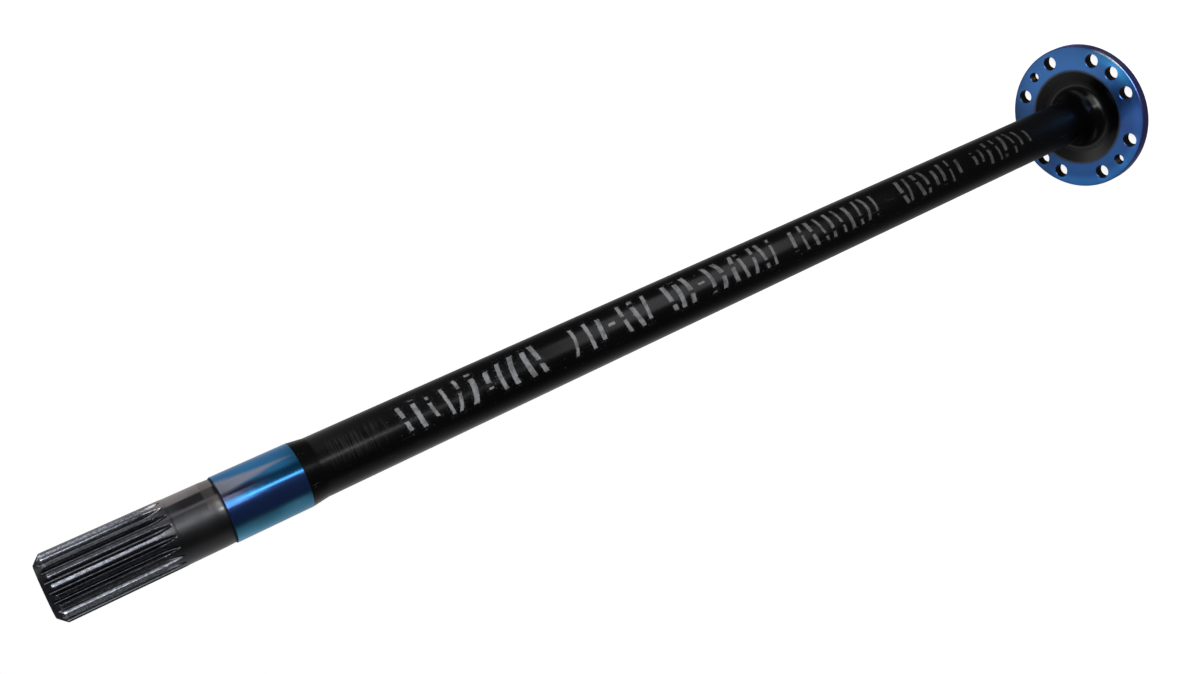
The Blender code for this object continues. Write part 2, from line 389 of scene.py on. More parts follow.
def model_drill(name, profile):
    """A closed turned body that a hole is cut with, standing on the axis."""
    radius, height = profile[0]
    item = start_ring(name, HOLE_STEPS, radius, height)
    turn_down(profile[1:], radius, height)
    bpy.ops.mesh.edge_face_add()
    bpy.ops.mesh.select_all(action="DESELECT")
    bpy.ops.mesh.select_non_manifold()
    bpy.ops.mesh.edge_face_add()
    bpy.ops.mesh.select_all(action="SELECT")
    bpy.ops.mesh.normals_make_consistent(inside=False)
    bpy.ops.object.mode_set(mode="OBJECT")
    return item


def bolt_hole_profile():
    """A plain hole with both its edges eased."""
    mouth = BOLT_HOLE + HOLE_EDGE + DRILL_OVERRUN
    return [
        (mouth, -DRILL_OVERRUN),
        (BOLT_HOLE, HOLE_EDGE),
        (BOLT_HOLE, FLANGE_THICKNESS - HOLE_EDGE),
        (mouth, FLANGE_THICKNESS + DRILL_OVERRUN),
    ]


def jack_hole_profile():
    """A tapped hole: the thread's ridges are drawn as rings."""
    mouth = JACK_HOLE + THREAD_DEPTH + DRILL_OVERRUN
    profile = [(mouth, -DRILL_OVERRUN)]
    turns = int(FLANGE_THICKNESS / THREAD_PITCH)
    first = (FLANGE_THICKNESS - turns * THREAD_PITCH) / 2
    for turn in range(turns):
        base = first + turn * THREAD_PITCH
        profile.append((JACK_HOLE, base + THREAD_PITCH * THREAD_CREST_START))
        profile.append((JACK_HOLE, base + THREAD_PITCH * THREAD_CREST_END))
        profile.append((JACK_HOLE + THREAD_DEPTH, base + THREAD_PITCH * THREAD_VALLEY))
    profile[-1] = (JACK_HOLE, profile[-1][1])
    profile.append((mouth, FLANGE_THICKNESS + DRILL_OVERRUN))
    return profile


def drill_flange(item):
    """Cut all holes of the bolt circle."""
    bolt = model_drill("bolt_drill", bolt_hole_profile())
    jack = model_drill("jack_drill", jack_hole_profile())
    drills = []
    for tool, pitches in ((bolt, BOLT_PITCHES), (jack, JACK_PITCHES)):
        for pitch in pitches:
            angle = math.tau * pitch / HOLE_PITCHES
            place = Vector((BOLT_CIRCLE * math.cos(angle), BOLT_CIRCLE * math.sin(angle), 0))
            copy = tool.copy()
            copy.data = tool.data.copy()
            copy.data.transform(Matrix.Translation(place))
            bpy.context.scene.collection.objects.link(copy)
            drills.append(copy)
    bpy.ops.object.select_all(action="DESELECT")
    for copy in drills:
        copy.select_set(True)
    bpy.context.view_layer.objects.active = drills[0]
    bpy.ops.object.join()
    tools = bpy.context.object
    cut = item.modifiers.new("holes", "BOOLEAN")
    cut.operation = "DIFFERENCE"
    cut.solver = "EXACT"
    cut.object = tools
    bpy.ops.object.select_all(action="DESELECT")
    item.select_set(True)
    bpy.context.view_layer.objects.active = item
    bpy.ops.object.modifier_apply(modifier=cut.name)
    for tool in (tools, bolt, jack):
        bpy.data.objects.remove(tool)


class Amount:
    """A number that changes over a surface: what is reckoned with it becomes Math nodes."""

    def __init__(self, finish, socket):
        self.finish = finish
        self.socket = socket

    def __add__(self, other):
        return self.finish.math("ADD", self, other)

    def __radd__(self, other):
        return self.finish.math("ADD", other, self)

    def __sub__(self, other):
        return self.finish.math("SUBTRACT", self, other)

    def __rsub__(self, other):
        return self.finish.math("SUBTRACT", other, self)

    def __mul__(self, other):
        return self.finish.math("MULTIPLY", self, other)

    def __rmul__(self, other):
        return self.finish.math("MULTIPLY", other, self)

    def __truediv__(self, other):
        return self.finish.math("DIVIDE", self, other)

    def __abs__(self):
        return self.finish.math("ABSOLUTE", self)


class Finish:
    """One material's node tree."""

    def __init__(self, tree):
        self.tree = tree
        tree.nodes.clear()

    def node(self, kind, settings=None, values=None):
        """Any node: its settings are set first, then its sockets, by number, colour or link."""
        made = self.tree.nodes.new(kind)
        for key, value in (settings or {}).items():
            setattr(made, key, value)
        for key, value in (values or {}).items():
            if isinstance(value, Amount):
                value = value.socket
            if isinstance(value, bpy.types.NodeSocket):
                self.tree.links.new(value, made.inputs[key])
            else:
                made.inputs[key].default_value = value
        return made

    def math(self, operation, *terms):
        made = self.node("ShaderNodeMath", {"operation": operation}, dict(enumerate(terms)))
        return Amount(self, made.outputs[0])

    def least(self, first, *others):
        for other in others:
            first = self.math("MINIMUM", first, other)
        return first

    def most(self, first, *others):
        for other in others:
            first = self.math("MAXIMUM", first, other)
        return first

    def rise(self, value, low, high):
        """0 below low, 1 above high, with a smooth step between; low may be the larger."""
        made = self.node(
            "ShaderNodeMapRange",
            {"interpolation_type": "SMOOTHSTEP"},
            {"Value": value, "From Min": low, "From Max": high},
        )
        return Amount(self, made.outputs["Result"])

    def near(self, value, middle, outer, inner):
        """1 within inner of a middle, 0 beyond outer, with a smooth step between."""
        return self.rise(abs(value - middle), outer, inner)

    def between(self, value, start, full, last_full, end):
        """0 outside start and end, 1 from full to last_full, with smooth steps between."""
        return self.rise(value, start, full) * self.rise(value, end, last_full)

    def blend(self, share, first, second):
        """A colour between two."""
        made = self.node(
            "ShaderNodeMix", {"data_type": "RGBA"}, {0: share, 6: first, 7: second}
        )
        return made.outputs[2]

    def scaled(self, colour, factor):
        """A colour made lighter or darker, and never more than white."""
        made = self.node(
            "ShaderNodeVectorMath", {"operation": "SCALE"}, {0: colour, "Scale": factor}
        )
        capped = self.node(
            "ShaderNodeVectorMath", {"operation": "MINIMUM"}, {0: made.outputs[0], 1: (1, 1, 1)}
        )
        return capped.outputs[0]

    def grain(self, place, scale, detail=2.0, stretch=(1, 1, 1), distortion=0.0):
        """Noise from 0 to 1 about a middle of 0.5; stretch divides the size of its grains."""
        spread = self.node("ShaderNodeMapping", None, {"Vector": place, "Scale": stretch})
        made = self.node(
            "ShaderNodeTexNoise",
            None,
            {
                "Vector": spread.outputs[0],
                "Scale": scale,
                "Detail": detail,
                "Distortion": distortion,
            },
        )
        return Amount(self, made.outputs["Fac"])

    def bump(self, height, distance, strength=1.0):
        made = self.node(
            "ShaderNodeBump",
            None,
            {"Height": height, "Distance": distance, "Strength": strength},
        )
        return made.outputs[0]


def new_finish(name):
    material = bpy.data.materials.new(name)
    material.use_nodes = True
    return material, Finish(material.node_tree)


def surface(finish, values):
    """The shader and the output of a material."""
    shader = finish.node("ShaderNodeBsdfPrincipled", None, values)
    finish.node("ShaderNodeOutputMaterial", None, {"Surface": shader.outputs[0]})


def grey(level):
    return (level, level, level, 1)


class Place:
    """Where a point of the shaft is: height, distance from the axis, and angle round it."""

    def __init__(self, finish):
        self.point = finish.node("ShaderNodeTexCoord").outputs["Object"]
        parts = finish.node("ShaderNodeSeparateXYZ", None, {0: self.point}).outputs
        x, y = Amount(finish, parts[0]), Amount(finish, parts[1])
        self.height = Amount(finish, parts[2])
        self.radius = finish.math("SQRT", x * x + y * y)
        ahead = x * math.cos(CAMERA_AZIMUTH) + y * math.sin(CAMERA_AZIMUTH)
        aside = y * math.cos(CAMERA_AZIMUTH) - x * math.sin(CAMERA_AZIMUTH)
        self.angle = finish.math("ARCTAN2", aside, ahead) * (180 / math.pi)


# The row of painted stencil strokes along the shaft
MARKS_LOW_Z = 84 * MM
STROKE_PITCH = 8.8 * MM
STROKE_COUNT = 62
MARKS_ANGLE = 13.5
MARK_HALF_HEIGHT = 9.6 * MM
STROKE_HALF_WIDTH = 1.5 * MM
EMPTY_CELLS = (8, 17, 18, 29, 41, 49, 50)
DASH_CELLS = (37, 45)
CHANCE_SEEDS = (0.37, 113.2)

# How far one stroke differs from the next, in millimetres or as a share of its half height
BRIDGE = 1.1
SHIFT_SPREAD = 1.6
LEAN_SPREAD = 3.4
CURVE_SPREAD = 4.5
BRIDGE_SPREAD = 2.2
SHORTENING = 0.45
DASH_THINNING = 0.7
DASH_HALF_LENGTH = 2.6
FAR_OUTSIDE = 40


def count_cells(finish, cell, numbers):
    """1 in the cells with these numbers, 0 in the others."""
    total = 0
    for number in numbers:
        total = total + finish.math("COMPARE", cell, number, 0.1)
    return total


def stencil_marks(finish, place):
    """How far inside a painted stroke a point is, in millimetres; negative outside."""
    along = (place.height - MARKS_LOW_Z) / STROKE_PITCH
    cell = finish.math("FLOOR", along)
    across = (along - cell - 0.5) * (STROKE_PITCH / MM)
    up = (place.angle - MARKS_ANGLE) * (math.radians(1) * SHAFT_RADIUS / MM)
    half_height = MARK_HALF_HEIGHT / MM
    chances = []
    for seed in CHANCE_SEEDS:
        noise = finish.node(
            "ShaderNodeTexWhiteNoise", {"noise_dimensions": "1D"}, {"W": cell + seed}
        )
        split = finish.node("ShaderNodeSeparateColor", None, {0: noise.outputs["Color"]})
        chances += [Amount(finish, socket) for socket in split.outputs]
    lean, curve, gap, short, shift, width = chances
    share = up / half_height
    bend = (shift - 0.5) * SHIFT_SPREAD + (lean - 0.5) * share * LEAN_SPREAD
    bend = bend + (curve - 0.5) * share * share * CURVE_SPREAD
    half_width = STROKE_HALF_WIDTH / MM * (0.75 + width * 0.5)
    side = half_width - abs(across - bend)
    ends = half_height * (1 - finish.rise(short, 0.6, 1) * SHORTENING) - abs(up)
    bridge_place = (gap - 0.5) * BRIDGE_SPREAD
    bridge = abs(share - bridge_place) * half_height - BRIDGE
    stroke = finish.least(side, ends, bridge)
    dash = finish.least(half_width * DASH_THINNING - abs(up), DASH_HALF_LENGTH - abs(across))
    not_stroke = count_cells(finish, cell, DASH_CELLS) * FAR_OUTSIDE
    empty = count_cells(finish, cell, EMPTY_CELLS) * FAR_OUTSIDE
    marks = finish.most(stroke - not_stroke, dash + not_stroke - FAR_OUTSIDE) - empty
    row = finish.least(along, STROKE_COUNT - along) * FAR_OUTSIDE
    return finish.least(marks, row)


# The enamel's colours
BLACK_DEEP = (0.0012, 0.0012, 0.0014, 1)
BLACK_SOFT = (0.003, 0.003, 0.0032, 1)
# A lighter grey for rings by the seat, partly from rubbing, partly a painted glint
RUBBED_GLINT_GREY = (0.055, 0.05, 0.055, 1)
# The stencil paint, dimmer near the flange and paler towards the splined end
CHALK_DIM = (0.075, 0.075, 0.077, 1)
CHALK_PALE = (0.38, 0.39, 0.41, 1)
DUST = grey(0.3)

# Where the enamel changes. Two heights: from none to full. Three values: a middle radius, how far
# from it the change reaches, and how far it is full
ROOT_BAND = (45 * MM, 25 * MM)
TURNED_BAND = (SHAFT_TOP_Z + 1 * MM, SHAFT_TOP_Z - 2 * MM)
CHALK_PALE_BAND = (120 * MM, 660 * MM)
DULL_BAND = (140 * MM, 60 * MM)
CORNER_RING = (26 * MM, 4 * MM, 2 * MM)

# The patch by the seat, its turning rings lighter from rubbing and as painted glints on the lit
# side: along the shaft and round it, in three values as above
RUBBED_GLINT_ALONG = (652 * MM, 26 * MM, 8 * MM)
RUBBED_GLINT_ROUND = (12, 34, 10)


def black_enamel():
    """Satin-gloss black over a turned bar, with the stencil marks, dust, light scuffs and painted
    glints on rings by the seat.
    """
    material, finish = new_finish("black_enamel")
    place = Place(finish)
    point = place.point
    at_root = finish.rise(place.height, *ROOT_BAND)
    broad = finish.grain(point, 14, 3)
    fine = finish.grain(point, 900, 3)
    rings = finish.grain(point, 1, 2, (60, 60, 2600))
    turned = finish.rise(place.height, *TURNED_BAND)
    scuffs = finish.grain(point, 1, 3, (1500, 1500, 40), 0.3)
    scuffed = finish.rise(scuffs, 0.66, 0.74) * finish.rise(broad, 0.4, 0.6) * (1 - at_root)
    specks = finish.rise(finish.grain(point, 520, 1), 0.77, 0.8)
    inside = stencil_marks(finish, place)
    ragged = inside + (finish.grain(point, 1300, 3) - 0.5) * 1.3
    thin = finish.rise(finish.grain(point, 260, 4), 0.3, 0.62)
    paint = finish.rise(ragged, -0.05, 0.35) * (0.45 + thin * 0.55)
    mist = finish.rise(inside, -3, 0.4) * finish.rise(fine, 0.52, 0.66) * 0.12
    covered = finish.most(paint, mist)
    black = finish.blend(broad, BLACK_DEEP, BLACK_SOFT)
    dusty = finish.blend(finish.most(specks * 0.35, scuffed * 0.12), black, DUST)
    # Painted glint: rings by the seat are lighter only on the side that faces the light
    by_seat = finish.near(place.height, *RUBBED_GLINT_ALONG) * finish.near(place.angle, *RUBBED_GLINT_ROUND)
    ringed = finish.rise(finish.grain(point, 1, 3, (90, 90, 1500)), 0.4, 0.66)
    rubbed_and_glinting = finish.blend(by_seat * ringed * 0.5, dusty, RUBBED_GLINT_GREY)
    # The stencil marks grow paler from the flange towards the splined end
    chalk = finish.blend(finish.rise(place.height, *CHALK_PALE_BAND), CHALK_DIM, CHALK_PALE)
    dull = finish.rise(place.height, *DULL_BAND) * (1 - at_root) * 0.2
    in_corner = finish.near(place.radius, *CORNER_RING) * 0.2
    roughness = 0.2 + broad * 0.12 - at_root * 0.07 + dull + in_corner
    worn = (rings * turned * 0.35 + fine * 0.15) * (1 - at_root * 0.8)
    height = worn + covered * 0.8 + scuffed * 0.2
    surface(
        finish,
        {
            "Base Color": finish.blend(covered, rubbed_and_glinting, chalk),
            "Roughness": roughness + covered * 0.35 + scuffed * 0.15,
            "Normal": finish.bump(height, 0.03 * MM),
            "Specular IOR Level": 0.33,
        },
    )
    return material


# The lacquer's colours on the seat, then on the flange; some stand in for painted light and shade,
# as noted beside them
SEAT_DEEP = (0.017, 0.158, 0.39, 1)
SEAT_SOFT = (0.020, 0.205, 0.43, 1)
SEAT_VIOLET = (0.075, 0.12, 0.45, 1)
# A painted highlight: the violet glow beside the lamp's streak on the seat
SEAT_HALO = (0.12, 0.19, 0.80, 1)
# Teal: a painted reflection of the pale ground on the seat's low side
SEAT_TEAL = (0.055, 0.260, 0.42, 1)
# Painted shade: a dark stripe on the seat by the shoulder
SEAT_MAROON = (0.045, 0.04, 0.085, 1)
SEAT_BARED = (0.30, 0.32, 0.42, 1)
# Flange blues, blended round the ring as painted light and shade
FLANGE_DEEP = (0.012, 0.062, 0.21, 1)
FLANGE_SOFT = (0.034, 0.120, 0.33, 1)
# Teal: a painted highlight on the outer ring, and a painted reflection on its low side
FLANGE_TEAL = (0.024, 0.190, 0.44, 1)
# Violet: painted light where the shaft's dark reflection falls on the flange
FLANGE_VIOLET = (0.026, 0.040, 0.20, 1)
RIM_VIOLET = (0.19, 0.16, 0.55, 1)
# A white painted highlight on the rim's chamfer
EDGE_HIGHLIGHT = (0.85, 0.93, 1.0, 1)
OVERSPRAY = (0.004, 0.004, 0.005, 1)
LACQUER_TINT = (0.75, 0.85, 0.95, 1)

# Patches of painted light and shade on the lacquer round the shaft, in degrees from the side of the
# camera: a middle, how far from it the patch reaches, and how far it is full; two values run from
# none to full
SEAT_LOW_SIDE = (-68, 42, 28)
SEAT_HALO_SIDE = (-15, 22, 10)
SEAT_DARK_SIDE = (18, 10.5, 5.5)
SEAT_DIMMED_SIDE = (7, 15, 8)
FLANGE_TEAL_SIDE = (22, 34, 8)
FLANGE_LOW_SIDE = (-90, 60, 30)
FLANGE_VIOLET_SIDE = (-22, 40, 15)
FLANGE_NEAR_SIDE = (0, 34, 10)
FLANGE_EDGE_HIGHLIGHT_SIDE = (33, 17, 8)
FLANGE_FAR_SIDE = (118, 158)
FLANGE_LIT_SIDE = (48, 28)
FLANGE_LIGHT_ANGLE = 80

# The wedge on the seat that is brushed bare: its middle, half its angle and its length
WEDGE_ANGLE = 37
WEDGE_HALF_ANGLE = 15
WEDGE_LENGTH = 34 * MM

# Where the lacquer changes along the shaft and outwards, in the same two ways
SEAT_BAND = (100 * MM, 200 * MM)
INNER_SIDE_BAND = (2 * MM, 5 * MM)
OUTER_RING = (47 * MM, 55 * MM)
RIM_RING = (FLANGE_RADIUS - 0.7 * MM, FLANGE_RADIUS - 0.1 * MM)
EDGE_RING = (FLANGE_RADIUS - RIM_CHAMFER, 0.7 * MM, 0.35 * MM)
OVERSPRAY_RING = (DISH_RADIUS + 3.2 * MM, DISH_RADIUS - 0.5 * MM)


def seat_colour(finish, place, cloudy, violet):
    """Blue with painted light and shade: a violet halo as painted highlight, teal below as a
    painted reflection, a painted dark stripe and painted dimming by the shoulder, and a wedge
    brushed bare.
    """
    angle = place.angle
    from_shoulder = (SHOULDER_Z - place.height) / WEDGE_LENGTH
    blue = finish.blend(cloudy, SEAT_DEEP, SEAT_SOFT)
    tinted = finish.blend(violet, blue, SEAT_VIOLET)
    # Painted highlight: a violet glow just below the lamp's streak
    haloed = finish.blend(finish.near(angle, *SEAT_HALO_SIDE) * 0.6, tinted, SEAT_HALO)
    # Painted reflection: the seat's low side turns teal
    both_sides = finish.blend(finish.near(angle, *SEAT_LOW_SIDE), haloed, SEAT_TEAL)
    # Painted shade: a dark maroon stripe by the shoulder, on one side of the lamp's streak
    dark = finish.near(angle, *SEAT_DARK_SIDE) * finish.rise(from_shoulder, 1, 0.3)
    edged = finish.blend(dark * 0.9, both_sides, SEAT_MAROON)
    # Painted shade: the seat is darkened next to the shoulder where the lamp's streak falls
    dull = finish.near(angle, *SEAT_DIMMED_SIDE) * finish.rise(from_shoulder, 0.5, 0.1)
    shade_dimmed = finish.scaled(edged, 1 - dull * 0.5)
    streaks = finish.grain(place.point, 1, 3, (330, 330, 26))
    wedge = WEDGE_HALF_ANGLE * (1 - from_shoulder) - abs(angle - WEDGE_ANGLE)
    bared = finish.rise(wedge + (streaks - 0.5) * 16, -5, 6)
    return finish.blend(bared, shade_dimmed, SEAT_BARED)


def flange_colour(finish, place, clouds, violet, fine):
    """Blue with painted light and shade round the ring: lighter on one side and darker on the far
    side, teal painted highlights, violet painted light where the shaft is mirrored, a violet rim
    and a white painted highlight on its edge.
    """
    angle = place.angle
    outer = finish.rise(place.radius, *OUTER_RING)
    # Painted light and shade: the flange's blue is lighter towards one side of the ring
    turned_to = (angle - FLANGE_LIGHT_ANGLE) * math.radians(1)
    lit = 0.5 + finish.math("COSINE", turned_to) * 0.5 + (clouds - 0.5) * 0.6
    blue = finish.blend(lit, FLANGE_DEEP, FLANGE_SOFT)
    # Painted highlight and painted reflection: teal on the outer ring at two places round it
    teal_side = finish.near(angle, *FLANGE_TEAL_SIDE) * 0.8
    teal_side = (teal_side + finish.near(angle, *FLANGE_LOW_SIDE) * 0.2) * outer
    teal = finish.blend(teal_side, blue, FLANGE_TEAL)
    # Painted light: violet lift where the shaft is mirrored in the flange, varied by random drift
    violet_side = finish.near(angle, *FLANGE_VIOLET_SIDE) * (0.3 + violet)
    tinted = finish.blend(violet_side, teal, FLANGE_VIOLET)
    # Painted light: the flange lighter on the near side and on its outer ring
    near_light = finish.near(angle, *FLANGE_NEAR_SIDE) * 1.1
    outer_light = outer * finish.rise(angle, *FLANGE_LIT_SIDE) * 0.6
    # Painted shade: the flange darker on its far side
    far_side = finish.rise(abs(angle), *FLANGE_FAR_SIDE)
    shaded = finish.scaled(tinted, (1 + near_light + outer_light) * (1 - far_side * 0.5))
    edged = finish.blend(finish.rise(place.radius, *RIM_RING) * 0.85, shaded, RIM_VIOLET)
    # Painted highlight: a white line along the rim's chamfer, only on the side that catches the
    # light
    worn = finish.near(place.radius, *EDGE_RING) * finish.near(angle, *FLANGE_EDGE_HIGHLIGHT_SIDE)
    return finish.blend(worn * finish.rise(fine, 0.35, 0.5) * 0.9, edged, EDGE_HIGHLIGHT)


def blue_lacquer():
    """Transparent blue lacquer on turned steel, violet at the rim, with painted light and shade
    round the shaft and brushed off in places.
    """
    material, finish = new_finish("blue_lacquer")
    place = Place(finish)
    point = place.point
    clouds = finish.grain(point, 38, 3)
    drift = finish.grain(point, 70, 2, (1, 1, 0.3))
    fine = finish.grain(point, 1100, 3)
    cloudy = finish.rise(clouds, 0.35, 0.7)
    violet = finish.rise(drift, 0.58, 0.72) * 0.55
    on_seat = finish.rise(place.height, *SEAT_BAND)
    seat = seat_colour(finish, place, cloudy, violet)
    flange = flange_colour(finish, place, clouds, violet, fine)
    blue = finish.blend(on_seat, flange, seat)
    near_dish = finish.rise(place.radius, *OVERSPRAY_RING)
    inner_side = finish.rise(place.height, *INNER_SIDE_BAND) * (1 - on_seat)
    overspray = finish.rise(near_dish + (fine - 0.5) * 0.5, 0.1, 1.0) * inner_side
    face_rings = finish.node(
        "ShaderNodeTexNoise",
        {"noise_dimensions": "1D"},
        {"W": place.radius + place.height, "Scale": 2600, "Detail": 2},
    )
    rings = Amount(finish, face_rings.outputs["Fac"])
    surface(
        finish,
        {
            "Base Color": finish.blend(overspray, blue, OVERSPRAY),
            "Metallic": (0.88 + on_seat * 0.08) * (1 - overspray),
            "Roughness": 0.14 + clouds * 0.08 + (1 - on_seat) * 0.14 + overspray * 0.1,
            "Normal": finish.bump(rings + fine * 0.3, 0.012 * MM),
            "Specular Tint": LACQUER_TINT,
            "Coat Weight": 0.1 + on_seat * 0.2,
            "Coat Roughness": 0.1,
        },
    )
    return material


# The bare steel's colours: the teeth, then the turned blank, what marks it and the light and shade
# painted on it
TEETH_DARK = (0.080, 0.086, 0.102, 1)
TEETH_LIGHT = (0.165, 0.174, 0.196, 1)
BLANK_DARK = (0.07, 0.072, 0.078, 1)
BLANK_LIGHT = (0.10, 0.10, 0.105, 1)
# A grey streak: a painted reflection on the blank
STREAK_REFLECTION_GREY = (0.22, 0.20, 0.22, 1)
# Painted light: the blank's upper side, lighter as if it mirrored a pale room
UPPER_SHEEN_GREY = (0.34, 0.31, 0.31, 1)
# Painted shadow: a dark patch on the blank below the teeth
SHADOW_BLACK = (0.03, 0.03, 0.034, 1)
# Painted sheen: the relief ring lighter on one side
RELIEF_SHEEN_BROWN = (0.20, 0.17, 0.165, 1)
# Painted glint on the relief by the shoulder
GLINT_GREY = grey(0.4)
# Dark for random grime, for the grooves' bottoms and for painted shade in the shoulder's corner
GRIME_AND_SHADE = (0.03, 0.028, 0.032, 1)

# Where the steel changes along the shaft and outwards. Two values: from none to full. Three: a
# middle, how far from it the change reaches, and how far it is full
TEETH_BAND = (FULL_DEPTH_Z - 12 * MM, FULL_DEPTH_Z - 2 * MM)
# Painted glints at the tooth ends, just under the chamfer: along the shaft, then outwards
CREST_GLINT_BAND = (CREST_END_Z, 1.3 * MM, 0.3 * MM)
CREST_RING = (17 * MM, 17.6 * MM)
GROOVE_RING = (17.9 * MM, 16.4 * MM)
SHADOW_BAND = (754 * MM, 744 * MM)
RELIEF_BAND = (731.5 * MM, 3.2 * MM, 2.4 * MM)
GLINT_BAND = (731.5 * MM, 728.5 * MM)
# Painted shade in the corner at the shoulder
SHOULDER_SHADE_BAND = (SHOULDER_Z + 1.3 * MM, SHOULDER_Z + 0.5 * MM)

# Places round the turned blank where light and shade are painted, in degrees, in the same two ways
# or as a middle alone
REFLECTION_STREAK_ANGLE = 27
SHADOW_ANGLE = 39
UPPER_SIDE = (44, 52)
RELIEF_SIDE = (6, 16)
GLINT_SIDE = (3, 4, 1)


def blank_colour(finish, place, clouds):
    """The turned length below the teeth: a painted reflection streak, a painted lighter upper side,
    a painted dark patch, a painted sheen on the relief and a painted glint.
    """
    angle = place.angle
    stray = finish.grain(place.point, 1, 3, (260, 260, 22)) - 0.5
    blank = finish.blend(clouds, BLANK_DARK, BLANK_LIGHT)
    # Painted reflection: a grey streak along the blank at one angle
    streak = finish.near(angle + stray * 10, REFLECTION_STREAK_ANGLE, 6, 2)
    streaked = finish.blend(streak * 0.8, blank, STREAK_REFLECTION_GREY)
    # Painted light: the upper side of the blank is lighter
    upper_sheen = finish.blend(finish.rise(angle + stray * 14, *UPPER_SIDE), streaked, UPPER_SHEEN_GREY)
    # Painted shadow: a dark patch on the blank's upper side by the teeth
    shadow = finish.near(angle + stray * 8, SHADOW_ANGLE, 12, 7)
    shadow = shadow * finish.rise(place.height + stray * (10 * MM), *SHADOW_BAND)
    shadowed = finish.blend(shadow * 0.75, upper_sheen, SHADOW_BLACK)
    # Painted light: the relief ring lighter on the upper side
    ring = finish.near(place.height, *RELIEF_BAND) * finish.rise(angle, *RELIEF_SIDE)
    relieved = finish.blend(ring * 0.5, shadowed, RELIEF_SHEEN_BROWN)
    # Painted highlight: a small glint on the relief by the shoulder
    glint = finish.near(angle, *GLINT_SIDE) * finish.rise(place.height, *GLINT_BAND)
    return finish.blend(glint * 0.35, relieved, GLINT_GREY)


def bare_steel():
    """Oiled steel of the splined end: hobbed teeth, a turned blank, darker deep in the grooves,
    random grime, painted glints and painted shade in the shoulder's corner.
    """
    material, finish = new_finish("bare_steel")
    place = Place(finish)
    point = place.point
    clouds = finish.grain(point, 60, 4)
    fine = finish.grain(point, 1400, 3)
    sparkle = finish.grain(point, 1, 2, (1100, 1100, 700))
    drawn = finish.grain(point, 1, 2, (900, 900, 25))
    rings = finish.grain(point, 1, 2, (70, 70, 2400))
    on_teeth = finish.rise(place.height, *TEETH_BAND)
    # Painted highlight: the crests brighter just under the end chamfer, as glints
    crest_end_glint = finish.near(place.height, *CREST_GLINT_BAND) * finish.rise(place.radius, *CREST_RING)
    bright = finish.rise(sparkle, 0.35, 0.65)
    cloudy = finish.blend(clouds, TEETH_DARK, TEETH_LIGHT)
    teeth = finish.scaled(cloudy, 0.65 + bright * 0.7 + crest_end_glint * bright * 2)
    steel = finish.blend(on_teeth, blank_colour(finish, place, clouds), teeth)
    # Darker deep in the grooves
    in_groove = finish.rise(place.radius, *GROOVE_RING) * on_teeth
    # Painted shade: the corner at the shoulder darkened all round
    corner = finish.rise(place.height, *SHOULDER_SHADE_BAND)
    grime_and_shade = finish.most(in_groove * 0.6, finish.rise(clouds, 0.55, 0.75) * 0.35, corner * 0.9)
    marks = drawn * on_teeth + rings * (1 - on_teeth)
    surface(
        finish,
        {
            "Base Color": finish.blend(grime_and_shade, steel, GRIME_AND_SHADE),
            "Metallic": 1.0,
            "Roughness": 0.3 - on_teeth * 0.12 + clouds * 0.14 + grime_and_shade * 0.15,
            "Normal": finish.bump(marks + sparkle * on_teeth * 2.2 + fine * 0.3, 0.012 * MM),
        },
    )
    return material


# The colours of the holes' walls, brown-black: partly the steel's tone, partly painted shade inside
# the holes
HOLE_DARK = (0.012, 0.009, 0.008, 1)
HOLE_BROWN = (0.05, 0.036, 0.03, 1)


def drilled_steel():
    """Walls of the holes: brown-black, partly painted shade, with the drill's rings."""
    material, finish = new_finish("drilled_steel")
    place = Place(finish)
    rings = finish.grain(place.point, 1, 2, (200, 200, 3000))
    clouds = finish.grain(place.point, 500, 3)
    surface(
        finish,
        {
            "Base Color": finish.blend(clouds, HOLE_DARK, HOLE_BROWN),
            "Metallic": 0.7,
            "Roughness": 0.35 + rings * 0.25,
            "Normal": finish.bump(rings, 0.03 * MM),
        },
    )
    return material


def hole_distance(centre):
    """How far a point of the flange is from the nearest hole's wall."""
    best = 1.0
    for radius, pitches in ((BOLT_HOLE, BOLT_PITCHES), (JACK_HOLE, JACK_PITCHES)):
        for pitch in pitches:
            angle = math.tau * pitch / HOLE_PITCHES
            x = BOLT_CIRCLE * math.cos(angle) - centre.x
            y = BOLT_CIRCLE * math.sin(angle) - centre.y
            best = min(best, math.hypot(x, y) - radius)
    return best


def paint_shaft(item):
    """Give each face its finish by its place."""
    for material in (black_enamel(), blue_lacquer(), bare_steel(), drilled_steel()):
        item.data.materials.append(material)
    enamel, lacquer, steel, drilled = range(4)
    near_edge = 0.01 * MM
    for face in item.data.polygons:
        centre = face.center
        radius = math.hypot(centre.x, centre.y)
        face.material_index = enamel
        if centre.z > SHOULDER_Z - near_edge:
            face.material_index = steel
        elif centre.z > SEAT_END_Z:
            face.material_index = lacquer
        elif centre.z < FLANGE_THICKNESS + near_edge:
            in_hole = hole_distance(centre) < THREAD_DEPTH and centre.z > near_edge
            if in_hole and centre.z < FLANGE_THICKNESS - HOLE_EDGE:
                face.material_index = drilled
            elif radius > DISH_RADIUS or centre.z < near_edge:
                face.material_index = lacquer
            elif radius < CENTRE_MOUTH:
                face.material_index = drilled


def make_axle_shaft():
    item = model_shaft()
    drill_flange(item)
    bpy.ops.object.shade_smooth_by_angle(angle=SMOOTH_ANGLE)
    paint_shaft(item)
    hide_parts("axle_shaft")
    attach(item, "root")


make_axle_shaft()


# The studio: a white ground and surround for the camera, three lamps, and for all other rays a
# room whose light depends on their direction
FLOOR_SIZE = 12
FLOOR_GAP = 0.2 * MM

